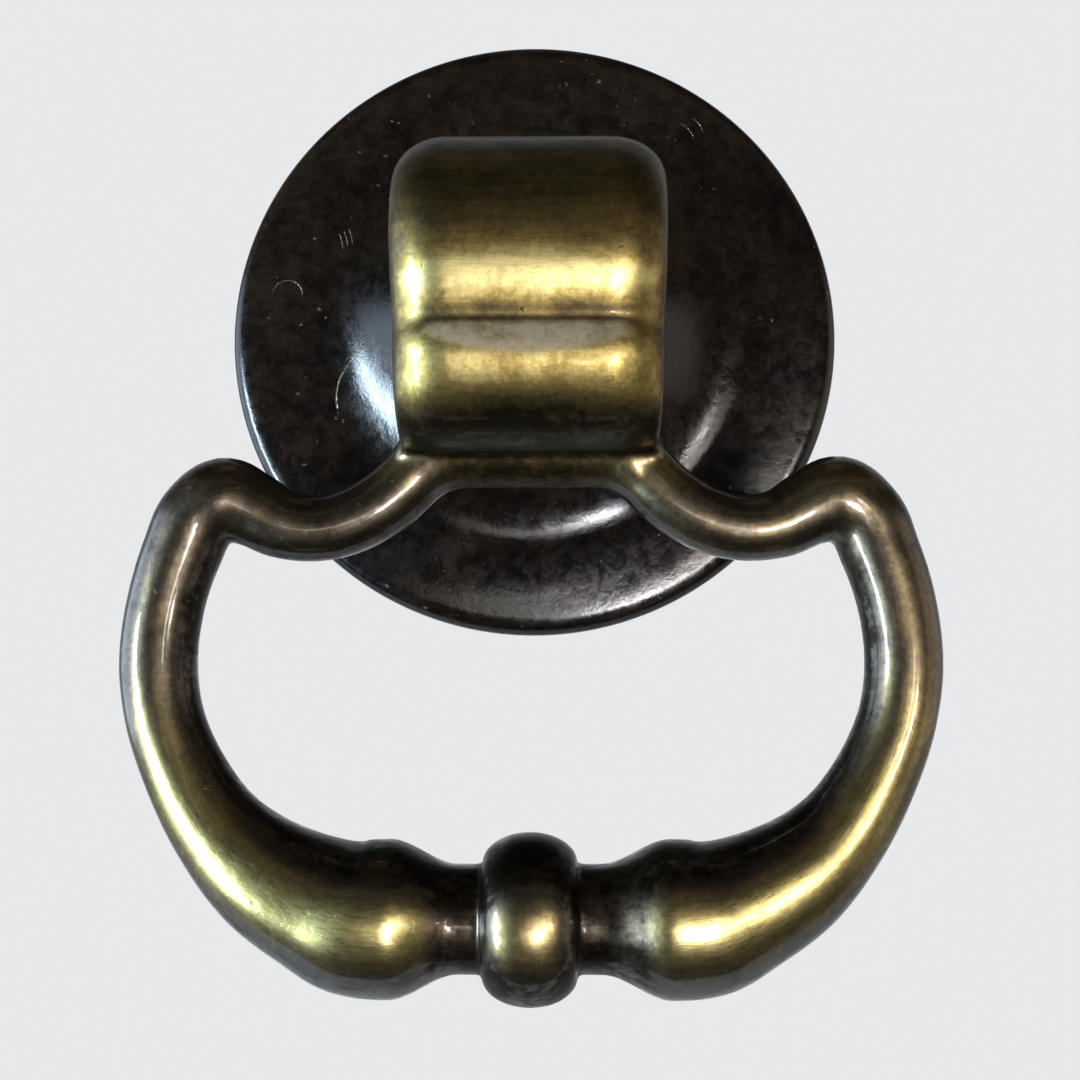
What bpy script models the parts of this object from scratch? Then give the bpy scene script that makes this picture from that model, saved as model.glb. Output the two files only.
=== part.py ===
"""Drop pull: a hinged brass handle on a round rosette, modelled at its real size in metres.

The origin is the centre of the rosette's back face, which lies on the drawer. The front looks along -Y and +Z is up.
A height is a distance in front of the drawer's face, so a point at height h has y = -h.
"""

import math

import bmesh
import bpy
from mathutils import Vector
from mathutils.geometry import interpolate_bezier

# Rosette
ROSETTE_RADIUS = 0.025
RIM_ROLL_RADIUS = 0.0013
RIM_HEIGHT = 0.0015
RIM_UNDER_ANGLE = -55.0
BRIM_INNER_RADIUS = 0.0175
BRIM_CROWN = 0.0003
BRIM_BULGE = 0.00066
NECK_RADIUS = 0.0062
NECK_HEIGHT = 0.0115
NECK_ROLL_RADIUS = 0.0006
NECK_ROLL_END_ANGLE = 20.0
FLARE_TOP_DROP = 0.0007
FLARE_TOP_HANDLE = (0.20, 0.38)
FLARE_FOOT_HANDLE = (0.33, 0.03)
ROSETTE_WALL = 0.0016
BACK_FLAT_WIDTH = 0.0020
BACK_EDGE = 0.0002
HOLLOW_STEP = 0.0004
HUB_SEAT_HEIGHT = 0.0060
HUB_SEAT_MARGIN = 0.0006

# Post, nut and washer
SHANK_RADIUS = 0.0040
SHANK_CLEARANCE = 0.0001
SHANK_TAIL_HEIGHT = 0.0003
SHOULDER_RADIUS = 0.0052
SHOULDER_THICKNESS = 0.0014
SHOULDER_EDGE = 0.0003
LUG_WIDTH = 0.0070
LUG_RADIUS = 0.0038
LUG_EDGE = 0.0006
LUG_ROOT_RADIUS = 0.0036
TAPPING_RADIUS = 0.00165
TAPPING_DEPTH = 0.0110
TAPPING_POINT_DEPTH = 0.0010
WASHER_RADIUS = 0.0075
WASHER_THICKNESS = 0.0008
NUT_ACROSS_FLATS = 0.0130
NUT_THICKNESS = 0.0040
NUT_CHAMFER = 0.0004
SEAT_GAP = 0.0003

# Hinge
PIVOT_HEIGHT = 0.0185
PIN_RADIUS = 0.0015
PIN_RUNNING_CLEARANCE = 0.00008
PIN_PRESS_CLEARANCE = 0.00002
PIN_RECESS = 0.00015
PIN_CHAMFER = 0.0003
BOSS_WALL = 0.0021
BOSS_RUNNING_GAP = 0.0002

# Head of the handle, measured from the pivot: forward, then up
UPPER_LOBE_RADIUS = 0.0102
UPPER_LOBE_DROP = 0.0005
LOWER_LOBE_RADIUS = 0.0046
LOWER_LOBE_FORWARD = 0.0047
LOWER_LOBE_DROP = 0.0073
LOWER_LOBE_TURN_ANGLE = -16.0
FOOT_RADIUS = 0.0065
FOOT_END_ANGLE = -100.0
GROOVE_FILLET = 0.0010
HOOD_END_ANGLE = 78.0
CAVITY_TOP_ANGLE = 88.0
CHEEK_REAR_RADIUS = 0.0056
CHEEK_REAR_ANGLES = (200.0, 110.0)
HEEL_BEHIND = 0.0020
HEEL_ABOVE = 0.0015
HEAD_TOP_HALF_WIDTH = 0.00975
HEAD_BOTTOM_HALF_WIDTH = 0.0090
HEAD_EDGE_DEPTH = 0.0030
HEAD_EDGE_WIDTH = 0.0040
FOOT_EDGE_DEPTH = 0.0004
HEAD_WALL = 0.0019

# Bail: its centre line lies in one plane, set back from the hinge axis until the handle hangs upright
BAIL_SET_BACK = 0.0014
CROSS_BAR_RADIUS = 0.0023
CROSS_BAR_DROP = 0.0129
CROSS_BAR_HALF_LENGTH = 0.0072
GRIP_DROP = 0.04555
GRIP_RADIUS = 0.00545
GRIP_NECK_RADIUS = 0.00375
SHOULDER_START = 0.0050
SHOULDER_END = 0.0098
BEAD_RADIUS = 0.00592
BEAD_HALF_WIDTH = 0.0033
BEAD_FOOT = 0.0004
BEAD_FOOT_RISE = 0.0001

# Arm, ear and leg between the head's lower corner and the grip: across, up from the pivot, radius
ARM_STATIONS = (
    (0.0064, -0.0122, 0.0023),
    (0.0082, -0.0142, 0.00236),
    (0.0102, -0.01612, 0.00236),
    (0.0125, -0.0175, 0.00236),
    (0.0153, -0.0182, 0.00236),
    (0.0180, -0.0178, 0.0025),
)
EAR_STATIONS = (
    (0.01995, -0.0168, 0.00273),
    (0.0220, -0.01615, 0.0031),
    (0.0238, -0.01735, 0.00292),
)
LEG_STATIONS = (
    (0.02495, -0.0199, 0.00281),
    (0.0260, -0.02355, 0.00273),
    (0.0264, -0.02747, 0.00273),
    (0.0258, -0.0318, 0.00273),
    (0.0243, -0.0355, 0.00289),
    (0.0216, -0.03965, 0.00337),
    (0.01865, -0.0424, 0.00409),
    (0.0152, -0.04435, 0.00469),
    (0.0123, -0.0454, 0.00531),
)

# Fineness of the round shapes
ROSETTE_STEPS = 48
POST_STEPS = 32
NUT_STEPS = 36
PIN_STEPS = 24
FLARE_POINTS = 10
BAIL_RING_SPACING = 0.0014
BAIL_BEVEL_RESOLUTION = 5
ARC_STEP_DEGREES = 12.0
EDGE_STEPS = 5
GRIP_SHOULDER_STEPS = 7
BEAD_STEPS = 6
MERGE_DISTANCE = 0.000002
CUTTER_OVERRUN = 0.004


def clear_scene():
    for scene_object in list(bpy.data.objects):
        bpy.data.objects.remove(scene_object, do_unlink=True)


def new_collection(name, hidden=False):
    collection = bpy.data.collections.new(name)
    collection.hide_render = hidden
    bpy.context.scene.collection.children.link(collection)
    return collection


def new_material(name, colour, metallic, roughness):
    material = bpy.data.materials.new(name)
    material.use_nodes = True
    shader = material.node_tree.nodes["Principled BSDF"]
    shader.inputs["Base Color"].default_value = (*colour, 1.0)
    shader.inputs["Metallic"].default_value = metallic
    shader.inputs["Roughness"].default_value = roughness
    return material


def shade_round(mesh, angle=35.0):
    mesh.shade_smooth()
    mesh.set_sharp_from_angle(angle=math.radians(angle))


def add_object(name, mesh, collection, material=None):
    added = bpy.data.objects.new(name, mesh)
    collection.objects.link(added)
    if material:
        mesh.materials.clear()
        mesh.materials.append(material)
    return added


def make_guide(guide):
    guide.hide_render = True
    guide.display_type = "WIRE"
    return guide


def add_boolean(target, other, operation):
    modifier = target.modifiers.new(f"{operation.lower()} {other.name}", "BOOLEAN")
    modifier.operation = operation
    modifier.solver = "EXACT"
    modifier.object = other


def mesh_of(source):
    """The evaluated mesh of an object, with its doubles merged. The object itself is removed."""
    bpy.context.view_layer.update()
    evaluated = source.evaluated_get(bpy.context.evaluated_depsgraph_get())
    mesh = bpy.data.meshes.new_from_object(evaluated)
    bm = bmesh.new()
    bm.from_mesh(mesh)
    bmesh.ops.remove_doubles(bm, verts=bm.verts, dist=MERGE_DISTANCE)
    bmesh.ops.recalc_face_normals(bm, faces=bm.faces)
    bm.to_mesh(mesh)
    bm.free()
    bpy.data.objects.remove(source, do_unlink=True)
    return mesh


def arc(centre, radius, start, end):
    """Points of an arc, with angles in degrees from the first axis towards the second."""
    count = max(2, math.ceil(abs(end - start) / ARC_STEP_DEGREES))
    angles = [math.radians(start + (end - start) * i / count) for i in range(count + 1)]
    return [(centre[0] + radius * math.cos(a), centre[1] + radius * math.sin(a)) for a in angles]


def angle_of(point, centre):
    return math.degrees(math.atan2(point[1] - centre[1], point[0] - centre[0]))


def turned_mesh(name, profile, steps):
    """A closed profile of (radius, height) points, turned about the axis that stands out of the drawer."""
    mesh = bpy.data.meshes.new(name)
    count = len(profile)
    mesh.from_pydata([(r, 0, h) for r, h in profile], [(i, (i + 1) % count) for i in range(count)], [])
    turned = add_object(name, mesh, bpy.context.scene.collection)
    screw = turned.modifiers.new("turn", "SCREW")
    screw.axis = "Z"
    screw.steps = screw.render_steps = steps
    screw.use_merge_vertices = True
    screw.merge_threshold = MERGE_DISTANCE
    mesh = mesh_of(turned)
    shade_round(mesh)
    return mesh


def cylinder(name, radius, start, end, steps, collection, chamfer=0.0):
    """A cylinder along X from start to end."""
    bm = bmesh.new()
    bmesh.ops.create_cone(bm, cap_ends=True, segments=steps, radius1=radius, radius2=radius, depth=end - start)
    if chamfer:
        rims = [edge for edge in bm.edges if abs(edge.verts[0].co.z - edge.verts[1].co.z) < MERGE_DISTANCE]
        bmesh.ops.bevel(bm, geom=rims, offset=chamfer, segments=1, affect="EDGES")
    for vert in bm.verts:
        vert.co = Vector((vert.co.z + (start + end) / 2, vert.co.x, vert.co.y))
    mesh = bpy.data.meshes.new(name)
    bm.to_mesh(mesh)
    bm.free()
    shade_round(mesh)
    return add_object(name, mesh, collection)


def side_outline_mesh(name, outline, half_width):
    """A closed outline of (forward, up) points, drawn out sideways. half_width gives half the width at a level."""
    curve = bpy.data.curves.new(name, "CURVE")
    curve.dimensions = "2D"
    curve.fill_mode = "BOTH"
    curve.extrude = half_width(0.0)
    spline = curve.splines.new("POLY")
    spline.points.add(len(outline) - 1)
    for point, (forward, up) in zip(spline.points, outline):
        point.co = (-forward, up, 0, 1)
    spline.use_cyclic_u = True
    mesh = mesh_of(add_object(name, curve, bpy.context.scene.collection))
    bm = bmesh.new()
    bm.from_mesh(mesh)
    bmesh.ops.dissolve_limit(bm, angle_limit=math.radians(0.2), verts=bm.verts, edges=bm.edges)
    for vert in bm.verts:
        along, up, side = vert.co
        vert.co = Vector((math.copysign(half_width(up), side), along, up))
    bmesh.ops.recalc_face_normals(bm, faces=bm.faces)
    bm.to_mesh(mesh)
    bm.free()
    return mesh


def rosette_profile():
    """Half the rosette's section: front face from the neck out to the rim, then back along the hollow side."""
    bore = SHANK_RADIUS + SHANK_CLEARANCE
    roll = (ROSETTE_RADIUS - RIM_ROLL_RADIUS, RIM_HEIGHT)
    neck_roll = (NECK_RADIUS - NECK_ROLL_RADIUS, NECK_HEIGHT - NECK_ROLL_RADIUS)
    brim_top = RIM_HEIGHT + RIM_ROLL_RADIUS
    brim_inner = (BRIM_INNER_RADIUS, brim_top + BRIM_CROWN)
    flare_top = (NECK_RADIUS, NECK_HEIGHT - FLARE_TOP_DROP)
    rise = flare_top[1] - brim_inner[1]
    reach = brim_inner[0] - flare_top[0]
    flare = interpolate_bezier(
        Vector((*flare_top, 0)),
        Vector((flare_top[0] + FLARE_TOP_HANDLE[0] * reach, flare_top[1] - FLARE_TOP_HANDLE[1] * rise, 0)),
        Vector((brim_inner[0] - FLARE_FOOT_HANDLE[0] * reach, brim_inner[1] + FLARE_FOOT_HANDLE[1] * rise, 0)),
        Vector((*brim_inner, 0)),
        FLARE_POINTS,
    )
    flare = [(p.x, p.y) for p in flare]
    brim_width = roll[0] - brim_inner[0]
    crown = [
        (brim_inner[0] + brim_width * t, brim_top + BRIM_CROWN * (1 - t) + BRIM_BULGE * t * (1 - t))
        for t in (0.25, 0.5, 0.75)
    ]
    front = [(bore, NECK_HEIGHT)] + arc(neck_roll, NECK_ROLL_RADIUS, 90, NECK_ROLL_END_ANGLE) + flare + crown
    rim = arc(roll, RIM_ROLL_RADIUS, 90, RIM_UNDER_ANGLE)
    flat_outer = rim[-1][0] - BACK_EDGE
    flat_inner = flat_outer - BACK_FLAT_WIDTH
    hollow_ceiling = [(r, h - ROSETTE_WALL) for r, h in reversed(flare) if h - ROSETTE_WALL < HUB_SEAT_HEIGHT]
    seat_radius = WASHER_RADIUS + HUB_SEAT_MARGIN
    hollow_ceiling = [(r, h) for r, h in hollow_ceiling if r > seat_radius + HOLLOW_STEP]
    back = [(flat_outer, 0), (flat_inner, 0), (flat_inner, brim_top - ROSETTE_WALL)]
    hub = [(seat_radius, HUB_SEAT_HEIGHT), (bore, HUB_SEAT_HEIGHT)]
    return front + rim + back + hollow_ceiling + hub


def make_rosette(collection, material):
    mesh = turned_mesh("rosette", rosette_profile(), ROSETTE_STEPS)
    rosette = add_object("rosette", mesh, collection, material)
    rosette.rotation_euler = (math.radians(90), 0, 0)
    return rosette


def shoulder_heights():
    bottom = NECK_HEIGHT + SEAT_GAP
    return bottom, bottom + SHOULDER_THICKNESS


def make_pivot_post(collection, guides, material):
    """A turned shank and shoulder with an eye lug, bored for the pin and tapped from behind for the fixing screw."""
    bottom, top = shoulder_heights()
    tap_end = SHANK_TAIL_HEIGHT + TAPPING_DEPTH
    turned = [
        (0.0, top),
        (LUG_ROOT_RADIUS, top),
        (SHOULDER_RADIUS - SHOULDER_EDGE, top),
        (SHOULDER_RADIUS, top - SHOULDER_EDGE),
        (SHOULDER_RADIUS, bottom),
        (SHANK_RADIUS, bottom),
        (SHANK_RADIUS, SHANK_TAIL_HEIGHT + SHOULDER_EDGE),
        (SHANK_RADIUS - SHOULDER_EDGE, SHANK_TAIL_HEIGHT),
        (TAPPING_RADIUS, SHANK_TAIL_HEIGHT),
        (TAPPING_RADIUS, tap_end),
        (0.0, tap_end + TAPPING_POINT_DEPTH),
    ]
    post = add_object("pivot_post", turned_mesh("pivot_post", turned, POST_STEPS), collection, material)
    post.rotation_euler = (math.radians(90), 0, 0)

    lug_back = PIVOT_HEIGHT - (bottom + top) / 2
    outline = arc((0, 0), LUG_RADIUS, 90, -90) + [(-lug_back, -LUG_RADIUS), (-lug_back, LUG_RADIUS)]
    lug = add_object("lug", side_outline_mesh("lug", outline, lambda up: LUG_WIDTH / 2), guides)
    lug.location = (0, -PIVOT_HEIGHT, 0)
    bevel = lug.modifiers.new("edges", "BEVEL")
    bevel.width = LUG_EDGE
    bevel.segments = 2
    bevel.limit_method = "ANGLE"
    bevel.angle_limit = math.radians(40)
    add_boolean(post, make_guide(lug), "UNION")

    bore_radius = PIN_RADIUS + PIN_RUNNING_CLEARANCE
    overrun = LUG_WIDTH / 2 + CUTTER_OVERRUN
    bore = cylinder("lug_bore", bore_radius, -overrun, overrun, PIN_STEPS, guides)
    bore.location = (0, -PIVOT_HEIGHT, 0)
    add_boolean(post, make_guide(bore), "DIFFERENCE")
    return post


def make_lock_washer(collection, material):
    inner = SHANK_RADIUS + 2 * SHANK_CLEARANCE
    top = HUB_SEAT_HEIGHT - SEAT_GAP
    bottom = top - WASHER_THICKNESS
    profile = [(inner, top), (WASHER_RADIUS, top), (WASHER_RADIUS, bottom), (inner, bottom)]
    washer = add_object("lock_washer", turned_mesh("lock_washer", profile, POST_STEPS), collection, material)
    washer.rotation_euler = (math.radians(90), 0, 0)
    return washer


def make_retaining_nut(collection, guides, material):
    """A thin hexagon nut: a turned blank with chamfered corners, cut by a hexagon."""
    top = HUB_SEAT_HEIGHT - 2 * SEAT_GAP - WASHER_THICKNESS
    bottom = top - NUT_THICKNESS
    inner = SHANK_RADIUS + SHANK_CLEARANCE
    corner = NUT_ACROSS_FLATS / math.sqrt(3)
    profile = [
        (inner, top),
        (corner - 2 * NUT_CHAMFER, top),
        (corner, top - NUT_CHAMFER),
        (corner, bottom + NUT_CHAMFER),
        (corner - 2 * NUT_CHAMFER, bottom),
        (inner, bottom),
    ]
    nut = add_object("retaining_nut", turned_mesh("retaining_nut", profile, NUT_STEPS), collection, material)
    nut.rotation_euler = (math.radians(90), 0, 0)
    bm = bmesh.new()
    depth = NUT_THICKNESS + 2 * CUTTER_OVERRUN
    bmesh.ops.create_cone(bm, cap_ends=True, segments=6, radius1=corner, radius2=corner, depth=depth)
    mesh = bpy.data.meshes.new("hexagon")
    bm.to_mesh(mesh)
    bm.free()
    hexagon = make_guide(add_object("hexagon", mesh, guides))
    hexagon.location = (0, -(top + bottom) / 2, 0)
    hexagon.rotation_euler = (math.radians(90), 0, 0)
    add_boolean(nut, hexagon, "INTERSECT")
    return nut


def head_half_width(up):
    """The cheeks draw in a little from the top of the head to its foot, as a casting's draft does."""
    share = (up + CROSS_BAR_DROP) / (UPPER_LOBE_RADIUS + CROSS_BAR_DROP)
    return HEAD_BOTTOM_HALF_WIDTH + (HEAD_TOP_HALF_WIDTH - HEAD_BOTTOM_HALF_WIDTH) * share


def point_at(centre, radius, angle):
    return (centre[0] + radius * math.cos(math.radians(angle)), centre[1] + radius * math.sin(math.radians(angle)))


def lobe_centres():
    """Centres of the upper lobe, the lower lobe and the foot, which carries on from the lower lobe."""
    upper = (0.0, -UPPER_LOBE_DROP)
    lower = (LOWER_LOBE_FORWARD, -LOWER_LOBE_DROP)
    foot = point_at(lower, LOWER_LOBE_RADIUS - FOOT_RADIUS, LOWER_LOBE_TURN_ANGLE)
    return upper, lower, foot


def groove_centre(upper, lower):
    """Centre of the fillet that touches both lobes from the front."""
    upper_reach = UPPER_LOBE_RADIUS + GROOVE_FILLET
    lower_reach = LOWER_LOBE_RADIUS + GROOVE_FILLET
    apart = math.dist(upper, lower)
    along = (upper_reach**2 - lower_reach**2 + apart**2) / (2 * apart)
    aside = math.sqrt(upper_reach**2 - along**2)
    towards = ((lower[0] - upper[0]) / apart, (lower[1] - upper[1]) / apart)
    return (upper[0] + towards[0] * along - towards[1] * aside, upper[1] + towards[1] * along + towards[0] * aside)


def lobe_front(inset, end_inset, top_angle, bottom_angle):
    """The head's front line, moved inwards: upper lobe, groove fillet, lower lobe, foot.

    The line moves by inset down to the foot, and along the foot that changes evenly to end_inset.
    """
    upper, lower, foot = lobe_centres()
    groove = groove_centre(upper, lower)
    upper_end = angle_of(groove, upper)
    lower_start = angle_of(groove, lower)
    upper_arc = arc(upper, UPPER_LOBE_RADIUS - inset, top_angle, upper_end)
    groove_arc = arc(groove, GROOVE_FILLET + inset, upper_end + 180, lower_start + 180)
    lower_arc = arc(lower, LOWER_LOBE_RADIUS - inset, lower_start, LOWER_LOBE_TURN_ANGLE)
    foot_arc = []
    for point in arc(foot, FOOT_RADIUS, LOWER_LOBE_TURN_ANGLE, bottom_angle):
        angle = angle_of(point, foot)
        share = (angle - LOWER_LOBE_TURN_ANGLE) / (bottom_angle - LOWER_LOBE_TURN_ANGLE)
        foot_arc.append(point_at(foot, FOOT_RADIUS - inset - (end_inset - inset) * share, angle))
    return upper_arc + groove_arc[1:-1] + lower_arc + foot_arc[1:]


def head_section(inset):
    """The head's side outline as (forward, up), with only its front line moved inwards by inset.

    Towards the foot the line moves less, so the head's lower edge stays straight and meets the arms.
    """
    front = lobe_front(inset, inset * FOOT_EDGE_DEPTH / HEAD_EDGE_DEPTH, HOOD_END_ANGLE, FOOT_END_ANGLE)
    cross_bar = (-BAIL_SET_BACK, -CROSS_BAR_DROP)
    heel = (cross_bar[0] - HEEL_BEHIND, cross_bar[1] + HEEL_ABOVE)
    return front + [cross_bar, heel] + arc((0, 0), CHEEK_REAR_RADIUS, *CHEEK_REAR_ANGLES)


def head_mesh():
    """A loft from cheek to cheek: each section near a cheek is drawn in, which rounds the front edges."""
    bm = bmesh.new()
    stations = []
    for step in range(EDGE_STEPS + 1):
        angle = math.radians(90 * step / EDGE_STEPS)
        stations.append((HEAD_EDGE_WIDTH * (1 - math.cos(angle)), HEAD_EDGE_DEPTH * (1 - math.sin(angle))))
    loops = []
    for side in (-1, 1):
        for from_cheek, inset in stations[::-side]:
            ring = [
                bm.verts.new((side * (head_half_width(up) - from_cheek), -forward, up))
                for forward, up in head_section(inset)
            ]
            loops.append([bm.edges.new((ring[i - 1], ring[i])) for i in range(len(ring))])
            if from_cheek == 0.0:
                bm.faces.new(ring)
    for first, second in zip(loops, loops[1:]):
        bmesh.ops.bridge_loops(bm, edges=first + second)
    bmesh.ops.recalc_face_normals(bm, faces=bm.faces)
    mesh = bpy.data.meshes.new("drop_handle")
    bm.to_mesh(mesh)
    bm.free()
    return mesh


def cavity_outline():
    """The hollow inside the head, open at the back."""
    floor = -(CROSS_BAR_DROP - CROSS_BAR_RADIUS)
    sine = (floor - lobe_centres()[2][1]) / (FOOT_RADIUS - HEAD_WALL)
    bottom_angle = math.degrees(math.asin(max(-1.0, sine)))
    front = lobe_front(HEAD_WALL, HEAD_WALL, CAVITY_TOP_ANGLE, bottom_angle)
    behind = -(CHEEK_REAR_RADIUS + CUTTER_OVERRUN)
    return front + [(behind, floor), (behind, front[0][1])]


def grip_stations():
    """The turned middle of the grip as (across, radius), from its shoulder in to the bead's middle."""
    rise = GRIP_RADIUS - GRIP_NECK_RADIUS
    shoulder = []
    for i in range(GRIP_SHOULDER_STEPS + 1):
        t = 1 - i / GRIP_SHOULDER_STEPS
        across = SHOULDER_START + (SHOULDER_END - SHOULDER_START) * t
        shoulder.append((across, GRIP_NECK_RADIUS + rise * t * t * (3 - 2 * t)))
    foot = (BEAD_HALF_WIDTH + BEAD_FOOT, GRIP_NECK_RADIUS)
    bead = []
    for i in range(BEAD_STEPS + 1):
        angle = math.radians(90 * (1 - i / BEAD_STEPS))
        radius = GRIP_NECK_RADIUS + (BEAD_RADIUS - GRIP_NECK_RADIUS) * math.cos(angle)
        bead.append((BEAD_HALF_WIDTH * math.sin(angle), radius + BEAD_FOOT_RISE * math.sin(angle)))
    return shoulder + [foot] + bead


def bail_half():
    """Half the bail as (across, up, radius), from inside the head's corner round to the middle of the grip."""
    grip_end = (SHOULDER_END, -GRIP_DROP, GRIP_RADIUS)
    stations = [*ARM_STATIONS, *EAR_STATIONS, *LEG_STATIONS, grip_end]
    points = [Vector(station) for station in stations]
    lengths = [(b.xy - a.xy).length for a, b in zip(points, points[1:])]
    tangents = [(points[1] - points[0]) / lengths[0]]
    for i in range(1, len(points) - 1):
        before, after = lengths[i - 1], lengths[i]
        slope_before = (points[i] - points[i - 1]) / before
        slope_after = (points[i + 1] - points[i]) / after
        tangents.append((slope_before * after + slope_after * before) / (before + after))
    tangents.append(Vector((-1, 0, 0)))
    half = [points[0]]
    for i, length in enumerate(lengths):
        count = max(2, math.ceil(length / BAIL_RING_SPACING))
        leave = points[i] + tangents[i] * length / 3
        arrive = points[i + 1] - tangents[i + 1] * length / 3
        half += interpolate_bezier(points[i], leave, arrive, points[i + 1], count + 1)[1:]
    half += [Vector((across, -GRIP_DROP, radius)) for across, radius in grip_stations()[1:]]
    return half


def bail_mesh():
    """A rod of changing thickness along the centre line, from one corner of the head to the other."""
    half = bail_half()
    other_side = [Vector((-p.x, p.y, p.z)) for p in reversed(half[:-1])]
    curve = bpy.data.curves.new("bail", "CURVE")
    curve.dimensions = "3D"
    curve.twist_mode = "MINIMUM"
    curve.bevel_depth = 1.0
    curve.bevel_resolution = BAIL_BEVEL_RESOLUTION
    curve.use_fill_caps = True
    places = half + other_side
    spline = curve.splines.new("POLY")
    spline.points.add(len(places) - 1)
    for point, place in zip(spline.points, places):
        point.co = (place.x, BAIL_SET_BACK, place.y, 1)
        point.radius = place.z
    return mesh_of(add_object("bail", curve, bpy.context.scene.collection))


def make_drop_handle(collection, guides, material):
    """One casting: hollow head with two inner bosses, cross bar and bail. Its origin is on the hinge axis."""
    handle = add_object("drop_handle", head_mesh(), collection, material)
    handle.location = (0, -PIVOT_HEIGHT, 0)

    def inner_half_width(up):
        return head_half_width(up) - HEAD_WALL

    cavity = add_object("cavity", side_outline_mesh("cavity", cavity_outline(), inner_half_width), guides)
    cavity.location = handle.location
    add_boolean(handle, make_guide(cavity), "DIFFERENCE")

    boss_start = LUG_WIDTH / 2 + BOSS_RUNNING_GAP
    boss_end = inner_half_width(0.0) + HEAD_WALL / 2
    boss_radius = PIN_RADIUS + BOSS_WALL
    for side in (-1, 1):
        start, end = sorted((side * boss_start, side * boss_end))
        boss = cylinder(f"boss_{'left' if side < 0 else 'right'}", boss_radius, start, end, PIN_STEPS, guides)
        boss.location = handle.location
        add_boolean(handle, make_guide(boss), "UNION")

    bar_end = CROSS_BAR_HALF_LENGTH
    cross_bar = cylinder("cross_bar", CROSS_BAR_RADIUS, -bar_end, bar_end, PIN_STEPS, guides)
    cross_bar.location = handle.location + Vector((0, BAIL_SET_BACK, -CROSS_BAR_DROP))
    add_boolean(handle, make_guide(cross_bar), "UNION")

    bail = add_object("bail", bail_mesh(), guides)
    bail.location = handle.location
    add_boolean(handle, make_guide(bail), "UNION")

    reach = HEAD_TOP_HALF_WIDTH + CUTTER_OVERRUN
    hole = cylinder("pin_hole", PIN_RADIUS + PIN_PRESS_CLEARANCE, -reach, reach, PIN_STEPS, guides)
    hole.location = handle.location
    add_boolean(handle, make_guide(hole), "DIFFERENCE")
    shade_round(handle.data)
    return handle


def make_hinge_pin(collection, handle, material):
    reach = head_half_width(0.0) - PIN_RECESS
    pin = cylinder("hinge_pin", PIN_RADIUS, -reach, reach, PIN_STEPS, collection, PIN_CHAMFER)
    pin.data.materials.append(material)
    pin.parent = handle
    return pin


def main():
    clear_scene()
    pull = new_collection("drop_pull")
    guides = new_collection("guides", hidden=True)
    bronze = new_material("dark_bronze", (0.055, 0.032, 0.020), 0.9, 0.38)
    brass = new_material("antique_brass", (0.30, 0.20, 0.075), 1.0, 0.34)
    steel = new_material("plain_steel", (0.42, 0.41, 0.40), 1.0, 0.35)
    make_rosette(pull, bronze)
    make_pivot_post(pull, guides, steel)
    make_lock_washer(pull, steel)
    make_retaining_nut(pull, guides, steel)
    handle = make_drop_handle(pull, guides, brass)
    make_hinge_pin(pull, handle, steel)


main()
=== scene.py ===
import math

import bmesh
import bpy
import numpy as np
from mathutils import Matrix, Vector, noise
from mathutils.bvhtree import BVHTree
from mathutils.geometry import interpolate_bezier


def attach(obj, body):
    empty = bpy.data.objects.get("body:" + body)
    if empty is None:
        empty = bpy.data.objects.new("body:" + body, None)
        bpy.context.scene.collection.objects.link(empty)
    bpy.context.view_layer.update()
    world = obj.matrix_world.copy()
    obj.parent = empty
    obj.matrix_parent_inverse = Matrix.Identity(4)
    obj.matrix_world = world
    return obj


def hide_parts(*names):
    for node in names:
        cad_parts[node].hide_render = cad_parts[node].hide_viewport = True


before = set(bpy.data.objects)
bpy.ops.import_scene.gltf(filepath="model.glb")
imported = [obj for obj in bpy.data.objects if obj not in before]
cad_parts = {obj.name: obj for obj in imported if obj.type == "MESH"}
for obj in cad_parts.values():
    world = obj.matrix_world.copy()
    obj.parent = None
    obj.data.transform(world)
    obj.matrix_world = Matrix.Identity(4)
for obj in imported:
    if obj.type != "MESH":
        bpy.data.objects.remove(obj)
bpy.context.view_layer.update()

scene = bpy.context.scene
tau = 2 * math.pi
print("frame loaded:", ", ".join(sorted(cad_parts)))


# small helpers

def linkObject(name, data):
    made = bpy.data.objects.new(name, data)
    scene.collection.objects.link(made)
    return made


def meshFrom(name, points, faces):
    mesh = bpy.data.meshes.new(name)
    mesh.from_pydata([tuple(p) for p in points], [], faces)
    return mesh


def tidyMesh(mesh, merge=1e-6):
    bm = bmesh.new()
    bm.from_mesh(mesh)
    bmesh.ops.remove_doubles(bm, verts=bm.verts, dist=merge)
    bmesh.ops.recalc_face_normals(bm, faces=bm.faces)
    bm.to_mesh(mesh)
    bm.free()
    return mesh


def bakedMesh(source):  # the evaluated mesh; the object itself goes
    bpy.context.view_layer.update()
    graph = bpy.context.evaluated_depsgraph_get()
    mesh = bpy.data.meshes.new_from_object(source.evaluated_get(graph))
    bpy.data.objects.remove(source, do_unlink=True)
    return mesh


def smoothShade(mesh, angle=None):
    mesh.shade_smooth()
    if angle is not None:
        mesh.set_sharp_from_angle(angle=math.radians(angle))


def arcPoints(centre, radius, start, end, step=2.0):  # angles in degrees
    count = max(2, math.ceil(abs(end - start) / step))
    angles = [math.radians(start + (end - start) * i / count) for i in range(count + 1)]
    return [(centre[0] + radius * math.cos(a), centre[1] + radius * math.sin(a)) for a in angles]


def pointAt(centre, radius, angle):
    return (centre[0] + radius * math.cos(math.radians(angle)), centre[1] + radius * math.sin(math.radians(angle)))


def smoothStep(low, high, value):
    t = np.clip((value - low) / (high - low), 0, 1)
    return t * t * (3 - 2 * t)


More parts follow.
